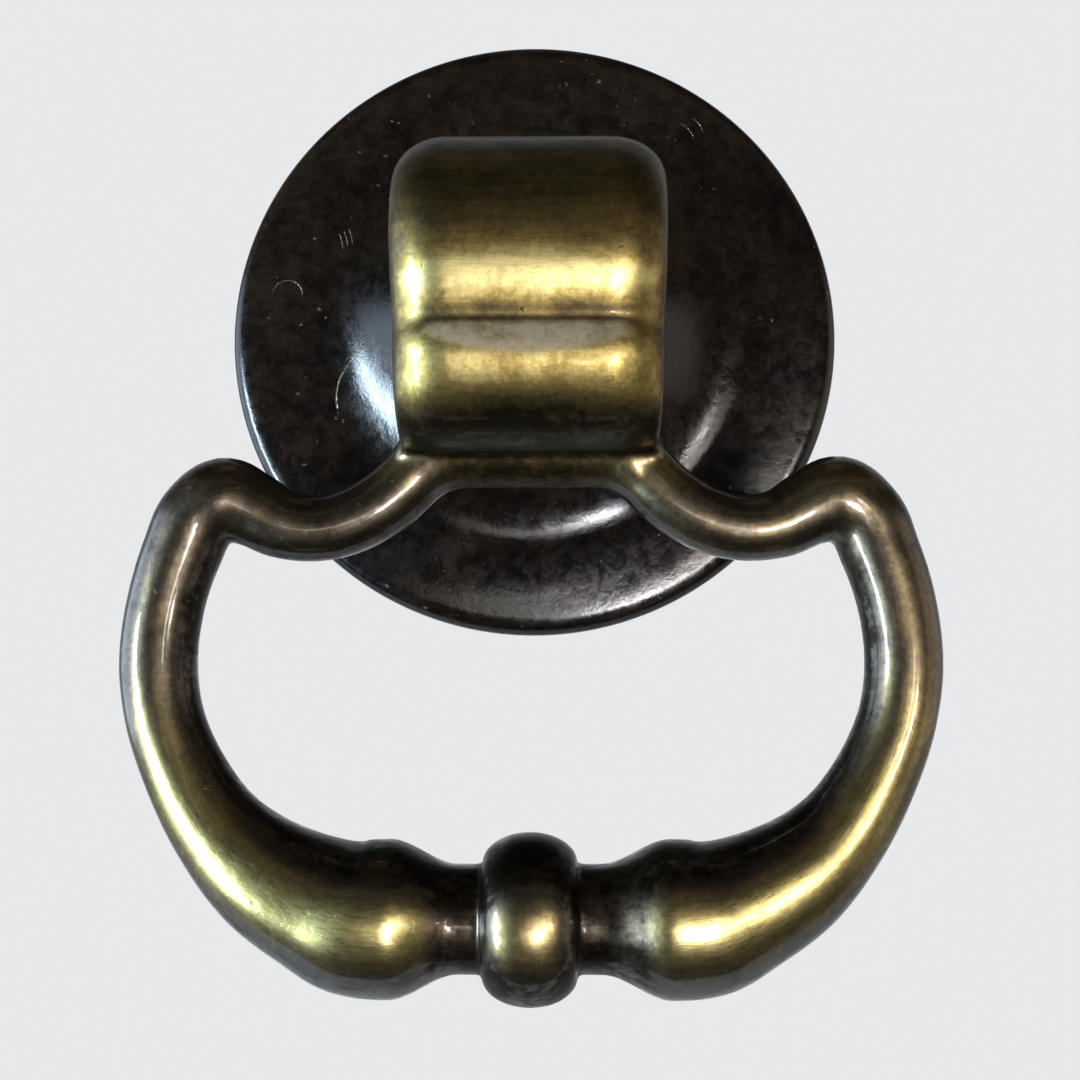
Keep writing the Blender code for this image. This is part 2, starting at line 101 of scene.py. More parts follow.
def meshArrays(mesh):
    places = np.empty(len(mesh.vertices) * 3)
    mesh.vertices.foreach_get("co", places)
    normals = np.empty(len(mesh.vertices) * 3)
    mesh.vertex_normals.foreach_get("vector", normals)
    return places.reshape(-1, 3), normals.reshape(-1, 3)


def storeValues(mesh, name, values):
    kind = "FLOAT" if values.ndim == 1 else "FLOAT_VECTOR"
    layer = mesh.attributes.new(name, kind, "POINT")
    layer.data.foreach_set("value" if values.ndim == 1 else "vector", values.astype(np.float32).ravel())


# node trees

def geometryTree(name, inputs):  # a Geometry Nodes tree with named inputs: {name: (type, value)}
    tree = bpy.data.node_groups.new(name, "GeometryNodeTree")
    tree.interface.new_socket("Geometry", in_out="INPUT", socket_type="NodeSocketGeometry")
    for label, (kind, value) in inputs.items():
        socket = tree.interface.new_socket(label, in_out="INPUT", socket_type=kind)
        socket.default_value = value
    tree.interface.new_socket("Geometry", in_out="OUTPUT", socket_type="NodeSocketGeometry")
    return tree, tree.nodes.new("NodeGroupInput"), tree.nodes.new("NodeGroupOutput")


def endTree(tree, last, end, material):  # Realize Instances and Set Material close every tree
    realize = tree.nodes.new("GeometryNodeRealizeInstances")
    finish = tree.nodes.new("GeometryNodeSetMaterial")
    finish.inputs["Material"].default_value = material
    tree.links.new(last, realize.inputs[0])
    tree.links.new(realize.outputs[0], finish.inputs["Geometry"])
    tree.links.new(finish.outputs[0], end.inputs[0])


def runTree(source, tree, values):
    modifier = source.modifiers.new(tree.name, "NODES")
    modifier.node_group = tree
    for item in tree.interface.items_tree:
        if item.item_type == "SOCKET" and item.in_out == "INPUT" and item.name in values:
            modifier[item.identifier] = values[item.name]
    return bakedMesh(source)


def curveObject(name, points, radii=None, cyclic=False):
    curve = bpy.data.curves.new(name, "CURVE")
    curve.dimensions = "3D"
    curve.twist_mode = "MINIMUM"
    spline = curve.splines.new("POLY")
    spline.points.add(len(points) - 1)
    for i, place in enumerate(points):
        spline.points[i].co = (*place, 1)
        spline.points[i].radius = radii[i] if radii is not None else 1.0
    spline.use_cyclic_u = cyclic
    return linkObject(name, curve)


# shader groups

def shaderGroup(name, inputs, outputs):
    group = bpy.data.node_groups.new(name, "ShaderNodeTree")
    for label, value in inputs.items():
        kind = "NodeSocketVector" if value is None or isinstance(value, tuple) and len(value) == 3 else "NodeSocketFloat"
        if isinstance(value, tuple) and len(value) == 4:
            kind = "NodeSocketColor"
        socket = group.interface.new_socket(label, in_out="INPUT", socket_type=kind)
        if value is not None:
            socket.default_value = value
    for label, kind in outputs.items():
        group.interface.new_socket(label, in_out="OUTPUT", socket_type=f"NodeSocket{kind}")
    return group, group.nodes.new("NodeGroupInput"), group.nodes.new("NodeGroupOutput")


def addNode(tree, kind, **settings):
    node = tree.nodes.new(kind)
    for key, value in settings.items():
        setattr(node, key, value)
    return node


def connect(tree, source, target):  # a link, or a plain value on the socket
    if isinstance(source, bpy.types.NodeSocket):
        tree.links.new(source, target)
    else:
        target.default_value = source


def mathNode(tree, operation, *values, clamp=False):
    node = addNode(tree, "ShaderNodeMath", operation=operation, use_clamp=clamp)
    for i, value in enumerate(values):
        connect(tree, value, node.inputs[i])
    return node.outputs[0]


def noiseNode(tree, vector, scale, detail=2.0, roughness=0.5, distortion=0.0):
    node = addNode(tree, "ShaderNodeTexNoise")
    connect(tree, vector, node.inputs["Vector"])
    connect(tree, scale, node.inputs["Scale"])
    node.inputs["Detail"].default_value = detail
    node.inputs["Roughness"].default_value = roughness
    node.inputs["Distortion"].default_value = distortion
    return node.outputs[0]


def stepNode(tree, value, low, high, outLow=0.0, outHigh=1.0):  # a smooth step from low to high
    node = addNode(tree, "ShaderNodeMapRange", interpolation_type="SMOOTHSTEP")
    for i, item in enumerate((value, low, high, outLow, outHigh)):
        connect(tree, item, node.inputs[i])
    return node.outputs[0]


def mixColours(tree, share, first, second, blend="MIX"):
    node = addNode(tree, "ShaderNodeMix", data_type="RGBA", blend_type=blend)
    connect(tree, share, node.inputs[0])
    connect(tree, first, node.inputs[6])
    connect(tree, second, node.inputs[7])
    return node.outputs[2]


def buildMottleGroup():  # cloudy patches with smaller clouds inside them, 0 to 1
    group, start, end = shaderGroup(
        "patinaMottle", {"Vector": None, "Scale": 120.0, "Contrast": 0.25}, {"Mottle": "Float"})
    large = noiseNode(group, start.outputs["Vector"], start.outputs["Scale"], 5.0, 0.62, 0.6)
    fineScale = mathNode(group, "MULTIPLY", start.outputs["Scale"], 5.3)
    small = noiseNode(group, start.outputs["Vector"], fineScale, 4.0, 0.6, 0.2)
    both = mathNode(group, "ADD", mathNode(group, "MULTIPLY", large, 0.68), mathNode(group, "MULTIPLY", small, 0.32))
    low = mathNode(group, "SUBTRACT", 0.5, start.outputs["Contrast"])
    high = mathNode(group, "ADD", 0.5, start.outputs["Contrast"])
    group.links.new(stepNode(group, both, low, high), end.inputs["Mottle"])
    return group


def buildSpeckGroup():  # scattered small spots: 1 inside a spot
    group, start, end = shaderGroup(
        "castSpecks", {"Vector": None, "Scale": 900.0, "Share": 0.1, "Size": 0.3}, {"Specks": "Float"})
    ragged = addNode(group, "ShaderNodeTexNoise")
    group.links.new(start.outputs["Vector"], ragged.inputs["Vector"])
    connect(group, mathNode(group, "MULTIPLY", start.outputs["Scale"], 2.2), ragged.inputs["Scale"])
    shifted = addNode(group, "ShaderNodeVectorMath", operation="MULTIPLY_ADD")
    group.links.new(ragged.outputs["Color"], shifted.inputs[0])
    shifted.inputs[1].default_value = (0.0007, 0.0007, 0.0007)
    group.links.new(start.outputs["Vector"], shifted.inputs[2])
    cells = addNode(group, "ShaderNodeTexVoronoi", feature="F1")
    group.links.new(shifted.outputs[0], cells.inputs["Vector"])
    group.links.new(start.outputs["Scale"], cells.inputs["Scale"])
    parts = addNode(group, "ShaderNodeSeparateColor")
    group.links.new(cells.outputs["Color"], parts.inputs[0])
    chosen = mathNode(group, "LESS_THAN", parts.outputs[0], start.outputs["Share"])
    size = mathNode(group, "MULTIPLY", start.outputs["Size"], mathNode(group, "ADD", 0.4, parts.outputs[1]))
    inside = stepNode(group, cells.outputs["Distance"], size, mathNode(group, "MULTIPLY", size, 0.45))
    group.links.new(mathNode(group, "MULTIPLY", chosen, inside), end.inputs["Specks"])
    return group


def buildHairlineGroup():  # fine brushed lines: x of the vector runs across the lines, y along them
    group, start, end = shaderGroup(
        "brushedHairlines", {"Vector": None, "Lines": 9000.0, "Stretch": 0.03}, {"Lines": "Float", "Broad": "Float"})
    parts = addNode(group, "ShaderNodeSeparateXYZ")
    group.links.new(start.outputs["Vector"], parts.inputs[0])
    along = mathNode(group, "MULTIPLY", parts.outputs[1], start.outputs["Stretch"])
    joined = addNode(group, "ShaderNodeCombineXYZ")
    group.links.new(parts.outputs[0], joined.inputs[0])
    group.links.new(along, joined.inputs[1])
    group.links.new(parts.outputs[2], joined.inputs[2])
    fine = noiseNode(group, joined.outputs[0], start.outputs["Lines"], 3.0, 0.7)
    broadScale = mathNode(group, "MULTIPLY", start.outputs["Lines"], 0.17)
    broad = noiseNode(group, joined.outputs[0], broadScale, 2.0, 0.5)
    group.links.new(fine, end.inputs["Lines"])
    group.links.new(broad, end.inputs["Broad"])
    return group


def buildScratchGroup():  # one scratch, an arc about a centre in the front plane
    group, start, end = shaderGroup(
        "curvedScratch",
        {"Vector": None, "Across": 0.0, "Up": 0.0, "Radius": 0.001, "Width": 0.00005, "Angle": 0.0, "Half": 0.5},
        {"Scratch": "Float"})
    parts = addNode(group, "ShaderNodeSeparateXYZ")
    group.links.new(start.outputs["Vector"], parts.inputs[0])
    dx = mathNode(group, "SUBTRACT", parts.outputs[0], start.outputs["Across"])
    dz = mathNode(group, "SUBTRACT", parts.outputs[2], start.outputs["Up"])
    squares = mathNode(group, "ADD", mathNode(group, "MULTIPLY", dx, dx), mathNode(group, "MULTIPLY", dz, dz))
    away = mathNode(group, "ABSOLUTE", mathNode(group, "SUBTRACT", mathNode(group, "SQRT", squares), start.outputs["Radius"]))
    wander = noiseNode(group, start.outputs["Vector"], 2500.0, 2.0)
    width = mathNode(group, "MULTIPLY", start.outputs["Width"], mathNode(group, "MULTIPLY", wander, 2.0))
    line = stepNode(group, away, width, 0.0)
    turn = mathNode(group, "SUBTRACT", mathNode(group, "ARCTAN2", dz, dx), start.outputs["Angle"])
    turned = mathNode(group, "ABSOLUTE", mathNode(group, "WRAP", turn, math.pi, -math.pi))
    fade = stepNode(group, turned, start.outputs["Half"], mathNode(group, "MULTIPLY", start.outputs["Half"], 0.6))
    broken = stepNode(group, noiseNode(group, start.outputs["Vector"], 5200.0, 3.0), 0.36, 0.5)
    group.links.new(mathNode(group, "MULTIPLY", mathNode(group, "MULTIPLY", line, fade), broken), end.inputs["Scratch"])
    return group


groups = {
    "mottle": buildMottleGroup(),
    "specks": buildSpeckGroup(),
    "hairlines": buildHairlineGroup(),
    "scratch": buildScratchGroup(),
}
print("shader groups made:", ", ".join(groups))


def placeGroup(tree, key, **values):
    node = addNode(tree, "ShaderNodeGroup", node_tree=groups[key])
    for label, value in values.items():
        connect(tree, value, node.inputs[label])
    return node


def newMaterial(name):
    material = bpy.data.materials.new(name)
    material.use_nodes = True
    tree = material.node_tree
    return material, tree, tree.nodes["Principled BSDF"]


def bumpInto(tree, shader, height, distance, strength=1.0):
    bump = addNode(tree, "ShaderNodeBump")
    bump.inputs["Strength"].default_value = strength
    bump.inputs["Distance"].default_value = distance
    tree.links.new(height, bump.inputs["Height"])
    tree.links.new(bump.outputs[0], shader.inputs["Normal"])
    return bump


# finishes

brassFinish = {
    # share of rubbed metal, with painted highlight and painted shade mixed in, and the colour there, from dark patina
    # to bare brass
    "tones": [
        (0.0, (0.022, 0.017, 0.012, 1)), (0.30, (0.095, 0.074, 0.050, 1)), (0.55, (0.215, 0.166, 0.080, 1)),
        (0.80, (0.40, 0.318, 0.125, 1)), (1.0, (0.56, 0.465, 0.195, 1)),
    ],
    "headGlaze": (1.0, 0.90, 0.52, 1),
    # painted reflection: colour of the pale lens-shaped band in the head's groove
    "paintedGrooveReflection": (0.235, 0.192, 0.135, 1),
    "speckDark": (0.035, 0.026, 0.018, 1),
    "rubbedRoughness": 0.29,
    "patinaRoughness": 0.38,
    "headDulling": 0.08,
    "headCoatLoss": 0.75,
    "hairlineBump": 0.000006,
    "coatShares": [(0.0, 0.05), (0.10, 0.60), (0.22, 1.0), (0.60, 0.65), (0.86, 0.08)],
    "coatRoughness": 0.10,
}


def makeBrass():
    material, tree, shader = newMaterial("antiqueBrass")
    place = addNode(tree, "ShaderNodeTexCoord").outputs["Object"]
    # this attribute holds worn brass together with painted highlight and painted shade
    wearAndPaintedLight = addNode(tree, "ShaderNodeAttribute", attribute_name="wearAndPaintedLight").outputs["Fac"]
    paintedGrooveReflection = addNode(tree, "ShaderNodeAttribute", attribute_name="paintedGrooveReflection").outputs["Fac"]
    brush = addNode(tree, "ShaderNodeAttribute", attribute_name="brush").outputs["Vector"]
    dull = addNode(tree, "ShaderNodeAttribute", attribute_name="dull").outputs["Fac"]
    mottle = placeGroup(tree, "mottle", Vector=place, Scale=330.0, Contrast=0.20).outputs[0]
    grain = placeGroup(tree, "mottle", Vector=place, Scale=1900.0, Contrast=0.22).outputs[0]
    lines = placeGroup(tree, "hairlines", Vector=brush, Lines=6200.0, Stretch=0.05)
    uneven = mathNode(tree, "MULTIPLY", mathNode(tree, "SUBTRACT", mottle, 0.5), 0.30)
    grainy = mathNode(tree, "MULTIPLY", mathNode(tree, "SUBTRACT", grain, 0.5), 0.20)
    streaks = mathNode(tree, "MULTIPLY", mathNode(tree, "SUBTRACT", lines.outputs["Broad"], 0.5), 0.36)
    uneven = mathNode(tree, "ADD", mathNode(tree, "ADD", uneven, grainy), streaks)
    # tone share: worn brass plus painted highlight and painted shade from the attribute, with random unevenness
    mottledWearAndLight = mathNode(tree, "ADD", wearAndPaintedLight, uneven, clamp=True)
    ramp = addNode(tree, "ShaderNodeValToRGB")
    tones = brassFinish["tones"]
    for i, (position, colour) in enumerate(tones):
        stop = ramp.color_ramp.elements[i] if i < 2 else ramp.color_ramp.elements.new(position)
        stop.position, stop.color = position, colour
    tree.links.new(mottledWearAndLight, ramp.inputs["Fac"])
    patchy = mathNode(tree, "ADD", mathNode(tree, "MULTIPLY", mottle, 0.5), mathNode(tree, "MULTIPLY", grain, 0.5))
    # painted reflection: a pale, mottled band in the head's groove, less metallic and rougher than the brass
    grooveReflectionShare = mathNode(tree, "MULTIPLY", paintedGrooveReflection, stepNode(tree, patchy, 0.1, 0.8, 0.45, 0.95))
    glazed = mathNode(tree, "MULTIPLY", dull, stepNode(tree, mottledWearAndLight, 0.85, 0.52, 0.0, 0.85))
    colour = mixColours(tree, glazed, ramp.outputs["Color"], brassFinish["headGlaze"], "MULTIPLY")
    colour = mixColours(tree, grooveReflectionShare, colour, brassFinish["paintedGrooveReflection"])
    specks = placeGroup(tree, "specks", Vector=place, Scale=1700.0, Share=0.030, Size=0.30).outputs[0]
    colour = mixColours(tree, mathNode(tree, "MULTIPLY", specks, 0.6), colour, brassFinish["speckDark"])
    tree.links.new(colour, shader.inputs["Base Color"])
    tree.links.new(mathNode(tree, "SUBTRACT", 1.0, mathNode(tree, "MULTIPLY", grooveReflectionShare, 0.75)), shader.inputs["Metallic"])
    rough = stepNode(tree, mottledWearAndLight, 0.0, 1.0, brassFinish["patinaRoughness"], brassFinish["rubbedRoughness"])
    lineShare = mathNode(tree, "MULTIPLY", mathNode(tree, "SUBTRACT", lines.outputs["Lines"], 0.5), 0.18)
    rough = mathNode(tree, "ADD", mathNode(tree, "ADD", rough, lineShare), mathNode(tree, "MULTIPLY", grooveReflectionShare, 0.12))
    rough = mathNode(tree, "ADD", rough, mathNode(tree, "MULTIPLY", dull, brassFinish["headDulling"]))
    tree.links.new(mathNode(tree, "ADD", rough, mathNode(tree, "MULTIPLY", specks, 0.2)), shader.inputs["Roughness"])
    coat = addNode(tree, "ShaderNodeValToRGB")
    for i, (position, share) in enumerate(brassFinish["coatShares"]):
        stop = coat.color_ramp.elements[i] if i < 2 else coat.color_ramp.elements.new(position)
        stop.position, stop.color = position, (share, share, share, 1)
    tree.links.new(mottledWearAndLight, coat.inputs["Fac"])
    onHead = mathNode(tree, "SUBTRACT", 1.0, mathNode(tree, "MULTIPLY", dull, brassFinish["headCoatLoss"]))
    tree.links.new(mathNode(tree, "MULTIPLY", coat.outputs["Color"], onHead), shader.inputs["Coat Weight"])
    shader.inputs["Coat Roughness"].default_value = brassFinish["coatRoughness"]
    height = mathNode(tree, "SUBTRACT", lines.outputs["Lines"], mathNode(tree, "MULTIPLY", specks, 2.0))
    height = mathNode(tree, "ADD", height, mathNode(tree, "MULTIPLY", grain, 0.8))
    bumpInto(tree, shader, height, brassFinish["hairlineBump"])
    return material


bronzeFinish = {
    "dark": (0.0028, 0.0025, 0.0025, 1),
    "brown": (0.0172, 0.0104, 0.0066, 1),
    "speckPale": (0.20, 0.15, 0.10, 1),
    "scratch": (0.26, 0.19, 0.12, 1),
    "roughness": (0.14, 0.25),
    "metallic": 0.25,
    "ior": 1.62,
    "bump": 0.000010,
}

# scratches on the rosette: across, up, radius, width (all m), direction and half length (degrees)
rosetteScratches = [
    (-0.0204, 0.0031, 0.00125, 0.00006, 80, 95),
    (-0.0200, 0.0068, 0.0050, 0.00005, 15, 9),
    (-0.0204, 0.0066, 0.0050, 0.00005, 15, 9),
    (-0.0208, 0.0064, 0.0050, 0.00005, 15, 9),
    (0.0114, 0.0160, 0.0020, 0.00005, 40, 30),
    (0.0122, 0.0166, 0.0020, 0.00005, 35, 24),
    (-0.0120, -0.0056, 0.0042, 0.00010, 165, 38),
]


def makeBronze():
    material, tree, shader = newMaterial("darkBronze")
    place = addNode(tree, "ShaderNodeTexCoord").outputs["Object"]
    mottle = placeGroup(tree, "mottle", Vector=place, Scale=120.0, Contrast=0.16).outputs[0]
    grain = placeGroup(tree, "mottle", Vector=place, Scale=800.0, Contrast=0.20).outputs[0]
    tone = mathNode(tree, "MULTIPLY", mathNode(tree, "ADD", mottle, 0.25), mathNode(tree, "ADD", grain, 0.15))
    colour = mixColours(tree, tone, bronzeFinish["dark"], bronzeFinish["brown"])
    specks = placeGroup(tree, "specks", Vector=place, Scale=1900.0, Share=0.06, Size=0.26).outputs[0]
    gathered = stepNode(tree, noiseNode(tree, place, 130.0, 3.0), 0.42, 0.62)
    specks = mathNode(tree, "MULTIPLY", specks, gathered)
    colour = mixColours(tree, mathNode(tree, "MULTIPLY", specks, 0.65), colour, bronzeFinish["speckPale"])
    marks = None
    for across, up, radius, width, angle, half in rosetteScratches:
        mark = placeGroup(
            tree, "scratch", Vector=place, Across=across, Up=up, Radius=radius, Width=width,
            Angle=math.radians(angle), Half=math.radians(half)).outputs[0]
        marks = mark if marks is None else mathNode(tree, "MAXIMUM", marks, mark)
    colour = mixColours(tree, mathNode(tree, "MULTIPLY", marks, 0.6), colour, bronzeFinish["scratch"])
    tree.links.new(colour, shader.inputs["Base Color"])
    shader.inputs["Metallic"].default_value = bronzeFinish["metallic"]
    shader.inputs["IOR"].default_value = bronzeFinish["ior"]
    rough = stepNode(tree, grain, 0.0, 1.0, *bronzeFinish["roughness"])
    tree.links.new(mathNode(tree, "ADD", rough, mathNode(tree, "MULTIPLY", specks, 0.2)), shader.inputs["Roughness"])
    pits = noiseNode(tree, place, 1600.0, 3.0, 0.6)
    uneven = mathNode(tree, "ADD", pits, mathNode(tree, "MULTIPLY", grain, 0.7))
    height = mathNode(tree, "SUBTRACT", uneven, mathNode(tree, "MULTIPLY", marks, 3.0))
    bumpInto(tree, shader, height, bronzeFinish["bump"])
    return material


steelFinish = {"bright": (0.46, 0.45, 0.43, 1), "dull": (0.27, 0.26, 0.25, 1), "roughness": 0.33}


def makeSteel():
    material, tree, shader = newMaterial("plainSteel")
    place = addNode(tree, "ShaderNodeTexCoord").outputs["Object"]
    mottle = placeGroup(tree, "mottle", Vector=place, Scale=420.0, Contrast=0.28).outputs[0]
    specks = placeGroup(tree, "specks", Vector=place, Scale=1900.0, Share=0.08, Size=0.3).outputs[0]
    colour = mixColours(tree, mottle, steelFinish["bright"], steelFinish["dull"])
    colour = mixColours(tree, mathNode(tree, "MULTIPLY", specks, 0.5), colour, (0.12, 0.09, 0.07, 1))
    tree.links.new(colour, shader.inputs["Base Color"])
    shader.inputs["Metallic"].default_value = 1.0
    tree.links.new(stepNode(tree, mottle, 0.0, 1.0, steelFinish["roughness"] - 0.05, steelFinish["roughness"] + 0.09), shader.inputs["Roughness"])
    turning = noiseNode(tree, place, 2600.0, 3.0, 0.6)
    bumpInto(tree, shader, turning, 0.000004)
    return material


brass = makeBrass()
bronze = makeBronze()
steel = makeSteel()
print("materials made")


# rosette

rosetteSizes = {
    "radius": 0.025, "rimRoll": 0.0012, "rimHeight": 0.00153, "rimUnder": -55.0,
    "edgeRadius": 0.0030, "edgeAngles": (81.0, 68.0),
    "brimInner": 0.0175, "brimCrown": 0.0003, "brimBulge": 0.00066,
    "neckRadius": 0.0062, "neckHeight": 0.0115, "neckRoll": 0.0006, "neckRollEnd": 20.0, "flareDrop": 0.0007,
    "topHandle": (0.20, 0.38), "footHandle": (0.33, 0.03),
    "wall": 0.0016, "backFlat": 0.0020, "backEdge": 0.0002, "hollowStep": 0.0004,
    "bore": 0.0041, "seatRadius": 0.0081, "seatHeight": 0.0060,
    "turns": 216, "flarePoints": 56,
}


def rosetteOutline(s):  # (radius, height) from the bore over the front to the rim, back along the hollow side
    roll = (s["radius"] - s["rimRoll"], s["rimHeight"])
    neck = (s["neckRadius"] - s["neckRoll"], s["neckHeight"] - s["neckRoll"])
    edgeStart, edgeEnd = s["edgeAngles"]
    edge = pointAt(pointAt(roll, s["rimRoll"], edgeEnd), -s["edgeRadius"], edgeEnd)
    brimOuter, brimTop = pointAt(edge, s["edgeRadius"], edgeStart)
    brim = (s["brimInner"], brimTop + s["brimCrown"])
    top = (s["neckRadius"], s["neckHeight"] - s["flareDrop"])
    reach, rise = brim[0] - top[0], top[1] - brim[1]
    flare = interpolate_bezier(
        Vector((*top, 0)),
        Vector((top[0] + s["topHandle"][0] * reach, top[1] - s["topHandle"][1] * rise, 0)),
        Vector((brim[0] - s["footHandle"][0] * reach, brim[1] + s["footHandle"][1] * rise, 0)),
        Vector((*brim, 0)), s["flarePoints"])
    flare = [(p.x, p.y) for p in flare]
    width = brimOuter - brim[0]
    shares = [i / 14 for i in range(1, 14)]
    crown = [(brim[0] + width * t, brimTop + s["brimCrown"] * (1 - t) + s["brimBulge"] * t * (1 - t)) for t in shares]
    front = [(s["bore"], s["neckHeight"])] + arcPoints(neck, s["neckRoll"], 90, s["neckRollEnd"], 6) + flare + crown
    rim = arcPoints(edge, s["edgeRadius"], edgeStart, edgeEnd, 2)[:-1]
    rim += arcPoints(roll, s["rimRoll"], edgeEnd, s["rimUnder"], 5)
    flatOuter = rim[-1][0] - s["backEdge"]
    flatInner = flatOuter - s["backFlat"]
    hollow = [(r, h - s["wall"]) for r, h in reversed(flare)]
    hollow = [(r, h) for r, h in hollow if h < s["seatHeight"] and r > s["seatRadius"] + s["hollowStep"]]
    back = [(flatOuter, 0), (flatInner, 0), (flatInner, brimTop - s["wall"])]
    return front + rim + back + hollow + [(s["seatRadius"], s["seatHeight"]), (s["bore"], s["seatHeight"])]


def turnTree(material):  # sweeps a closed section round a circle that stands in the section's own place
    tree, start, end = geometryTree("turnedPiece", {
        "Turns": ("NodeSocketInt", 64), "Path Radius": ("NodeSocketFloat", 0.01)})
    toCurve = tree.nodes.new("GeometryNodeMeshToCurve")
    circle = tree.nodes.new("GeometryNodeCurvePrimitiveCircle")
    sweep = tree.nodes.new("GeometryNodeCurveToMesh")
    tree.links.new(start.outputs["Geometry"], toCurve.inputs[0])
    tree.links.new(start.outputs["Turns"], circle.inputs["Resolution"])
    tree.links.new(start.outputs["Path Radius"], circle.inputs["Radius"])
    tree.links.new(circle.outputs[0], sweep.inputs["Curve"])
    tree.links.new(toCurve.outputs[0], sweep.inputs["Profile Curve"])
    endTree(tree, sweep.outputs[0], end, material)
    return tree


def turnedMesh(name, outline, turns, material):  # a closed (radius, height) outline, turned about the Y axis
    pathRadius = 0.01
    count = len(outline)
    ring = bpy.data.meshes.new(name)
    ring.from_pydata([(r - pathRadius, h, 0) for r, h in outline], [(i, (i + 1) % count) for i in range(count)], [])
    mesh = runTree(linkObject(name, ring), turnTree(material), {"Turns": turns, "Path Radius": pathRadius})
    places, normals = meshArrays(mesh)
    turned = np.column_stack((places[:, 0], places[:, 2], places[:, 1]))
    mesh.vertices.foreach_set("co", turned.ravel())
    return tidyMesh(mesh)


def makeRosette():
    mesh = turnedMesh("rosetteBody", rosetteOutline(rosetteSizes), rosetteSizes["turns"], bronze)
    places, normals = meshArrays(mesh)
    radius = np.hypot(places[:, 0], places[:, 2])
    angle = np.arctan2(places[:, 2], places[:, 0])
    shallow = 0.000035 * np.sin(3 * angle + 0.7) * np.sin(radius * 420) + 0.00002 * np.sin(7 * angle + radius * 900)
    shallow *= smoothStep(0.0075, 0.012, radius) * (1 - smoothStep(0.0215, 0.0235, radius))
    front = places[:, 1] < -0.0018
    places[front] += normals[front] * shallow[front, None]
    mesh.vertices.foreach_set("co", places.ravel())
    smoothShade(mesh, 40)
    rosette = linkObject("rosetteBody", mesh)
    rosette.data.materials.clear()
    rosette.data.materials.append(bronze)
    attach(rosette, "base")
    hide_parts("rosette")
    return rosette


makeRosette()
print("rosette made")


# handle

headSizes = {
    "pivot": (0.0, -0.0185, 0.0),
    "upperRadius": 0.0102, "upperDrop": 0.0005,
    "lowerRadius": 0.0046, "lowerForward": 0.0047, "lowerDrop": 0.0073, "lowerTurn": -16.0,
    "footRadius": 0.0065, "footEnd": -100.0, "grooveFillet": 0.0010,
    "hoodEnd": 78.0, "cavityTop": 88.0, "cheekRear": 0.0056, "cheekArc": (200.0, 110.0),
    "heelBehind": 0.0020, "heelAbove": 0.0015,
    "topHalf": 0.00975, "bottomHalf": 0.0090, "edgeDepth": 0.0030, "edgeWidth": 0.0040, "footEdgeDepth": 0.0004, "wall": 0.0019, "edgeSteps": 22,
    "bossRadius": 0.0036, "bossStart": 0.0037, "pinHole": 0.00152,
    "barRadius": 0.0023, "barDrop": 0.0129, "barHalf": 0.0072, "setBack": 0.0014,
}

bailSizes = {
    "stations": [
        (0.0064, -0.0122, 0.0023), (0.0082, -0.0142, 0.00236), (0.0102, -0.01612, 0.00236),
        (0.0125, -0.0175, 0.00236), (0.0153, -0.0182, 0.00236), (0.0180, -0.0178, 0.0025),
        (0.01995, -0.0168, 0.00273), (0.0220, -0.01615, 0.0031), (0.0238, -0.01735, 0.00292),
        (0.02495, -0.0199, 0.00281), (0.0260, -0.02355, 0.00273), (0.0264, -0.02747, 0.00273),
        (0.0258, -0.0318, 0.00273), (0.0243, -0.0355, 0.00289), (0.0216, -0.03965, 0.00337),
        (0.01865, -0.0424, 0.00409), (0.0152, -0.04435, 0.00469), (0.0123, -0.0454, 0.00531),
        (0.0098, -0.04555, 0.00545),
    ],
    "gripDrop": 0.04555, "gripRadius": 0.00545, "neckRadius": 0.00375,
    "shoulder": (0.0050, 0.0098), "beadRadius": 0.00592, "beadHalf": 0.0033, "beadFoot": 0.00035,
    "ringSpacing": 0.00035, "sides": 96,
}

blendWidths = {"rim": 0.0004, "boss": 0.0008, "bar": 0.0006, "arm": 0.0012, "hole": 0.0002}


def angleOf(point, centre):
    return math.degrees(math.atan2(point[1] - centre[1], point[0] - centre[0]))


def lobeFront(s, inset, endInset, topAngle, bottomAngle):  # the head's front line (forward, up), moved inwards
    upper = (0.0, -s["upperDrop"])
    lower = (s["lowerForward"], -s["lowerDrop"])
    foot = pointAt(lower, s["lowerRadius"] - s["footRadius"], s["lowerTurn"])
    reachUpper, reachLower = s["upperRadius"] + s["grooveFillet"], s["lowerRadius"] + s["grooveFillet"]
    apart = math.dist(upper, lower)
    along = (reachUpper**2 - reachLower**2 + apart**2) / (2 * apart)
    aside = math.sqrt(reachUpper**2 - along**2)
    dx, dy = (lower[0] - upper[0]) / apart, (lower[1] - upper[1]) / apart
    groove = (upper[0] + dx * along - dy * aside, upper[1] + dy * along + dx * aside)
    upperEnd, lowerStart = angleOf(groove, upper), angleOf(groove, lower)
    line = arcPoints(upper, s["upperRadius"] - inset, topAngle, upperEnd)
    line += arcPoints(groove, s["grooveFillet"] + inset, upperEnd + 180, lowerStart + 180, 6)[1:-1]
    line += arcPoints(lower, s["lowerRadius"] - inset, lowerStart, s["lowerTurn"], 3)
    for point in arcPoints(foot, s["footRadius"], s["lowerTurn"], bottomAngle, 3)[1:]:
        angle = angleOf(point, foot)
        share = (angle - s["lowerTurn"]) / (bottomAngle - s["lowerTurn"])
        line.append(pointAt(foot, s["footRadius"] - inset - (endInset - inset) * share, angle))
    return line


def headHalf(s, up):
    share = (up + s["barDrop"]) / (s["upperRadius"] + s["barDrop"])
    return s["bottomHalf"] + (s["topHalf"] - s["bottomHalf"]) * share


